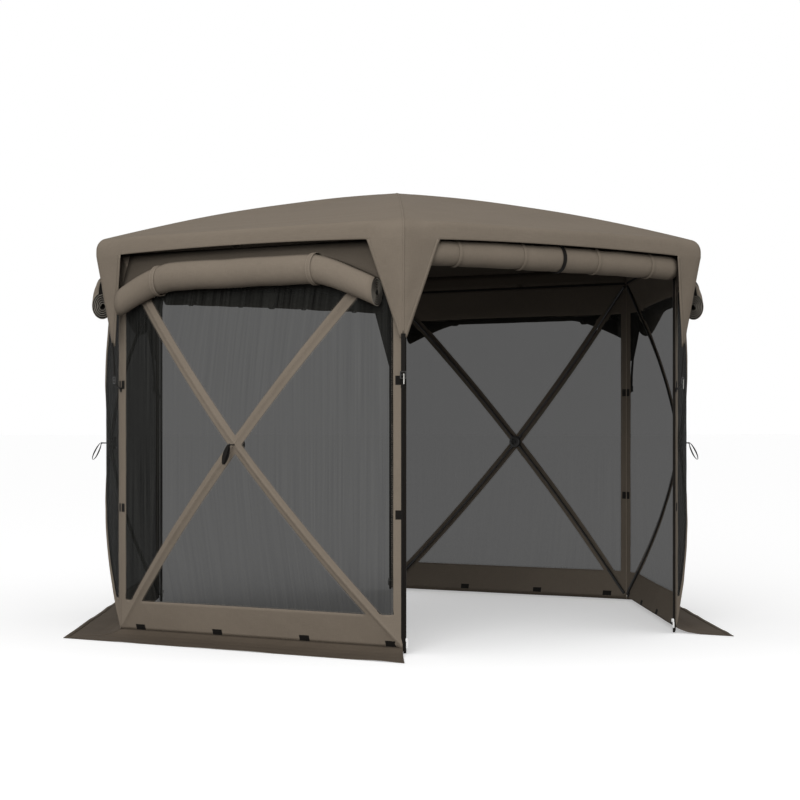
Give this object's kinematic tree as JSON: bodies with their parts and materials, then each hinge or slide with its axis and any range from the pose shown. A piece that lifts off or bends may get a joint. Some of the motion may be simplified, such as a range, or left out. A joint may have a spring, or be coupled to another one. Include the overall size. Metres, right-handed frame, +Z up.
{
  "type": "pop-up screen gazebo",
  "caption": "Hexagonal pop-up screen gazebo: low domed canopy with corner flaps, mesh walls on crossed rods, rolled-up wind panels, ground skirts and two open doorways.",
  "frame": {"origin": "on the ground at the centre of the floor, below the peak", "axes": "+Z up, -Y out through the front doorway, +Y out through the back one, +X to the right of someone who faces +Y"},
  "size_m": [3.8054, 3.295, 2.315],
  "materials": {
    "taupe_cloth": "woven polyester, coated",
    "dark_mesh": "fine knitted insect mesh",
    "black_webbing": "woven webbing and zip tape",
    "black_rod": "black fibreglass rod and moulded hub",
    "zip_metal": "plated zip slider"
  },
  "bodies": {
    "gazebo": {"roof_canopy": "taupe_cloth", "roof_frame": "black_rod", "wall_border_front_right": "taupe_cloth", "wall_screen_front_right": "dark_mesh", "wall_frame_front_right": "black_rod", "ground_skirt_front_right": "taupe_cloth", "wind_panel_roll_front_right": "taupe_cloth", "pull_loop_front_right": "black_webbing", "wall_border_back_right": "taupe_cloth", "wall_screen_back_right": "dark_mesh", "wall_frame_back_right": "black_rod", "ground_skirt_back_right": "taupe_cloth", "wind_panel_roll_back_right": "taupe_cloth", "pull_loop_back_right": "black_webbing", "wall_border_back_left": "taupe_cloth", "wall_screen_back_left": "dark_mesh", "wall_frame_back_left": "black_rod", "ground_skirt_back_left": "taupe_cloth", "wind_panel_roll_back_left": "taupe_cloth", "pull_loop_back_left": "black_webbing", "wall_border_front_left": "taupe_cloth", "wall_screen_front_left": "dark_mesh", "wall_frame_front_left": "black_rod", "ground_skirt_front_left": "taupe_cloth", "wind_panel_roll_front_left": "taupe_cloth", "pull_loop_front_left": "black_webbing", "door_header_front": "taupe_cloth", "door_header_back": "taupe_cloth", "door_roll_front": "taupe_cloth", "door_roll_back": "taupe_cloth", "door_jamb_front_left": "black_webbing", "door_jamb_front_right": "black_webbing", "door_jamb_back_right": "black_webbing", "door_jamb_back_left": "black_webbing", "corner_strap_front_left": "black_webbing", "corner_strap_front_right": "black_webbing", "corner_strap_right": "black_webbing", "corner_strap_back_right": "black_webbing", "corner_strap_back_left": "black_webbing", "corner_strap_left": "black_webbing"},
    "front_left_zip_slider": {"zip_slider_front_left": "zip_metal"},
    "front_right_zip_slider": {"zip_slider_front_right": "zip_metal"},
    "back_right_zip_slider": {"zip_slider_back_right": "zip_metal"},
    "back_left_zip_slider": {"zip_slider_back_left": "zip_metal"}
  },
  "joints": [
    {"name": "front_left_zip_slide", "type": "slide", "parent": "gazebo", "child": "front_left_zip_slider", "axis": [0, 0, 1], "range_m": [0, 1.78]},
    {"name": "front_right_zip_slide", "type": "slide", "parent": "gazebo", "child": "front_right_zip_slider", "axis": [0, 0, 1], "range_m": [0, 1.78]},
    {"name": "back_right_zip_slide", "type": "slide", "parent": "gazebo", "child": "back_right_zip_slider", "axis": [0, 0, 1], "range_m": [0, 1.78]},
    {"name": "back_left_zip_slide", "type": "slide", "parent": "gazebo", "child": "back_left_zip_slider", "axis": [0, 0, 1], "range_m": [0, 1.78]}
  ]
}
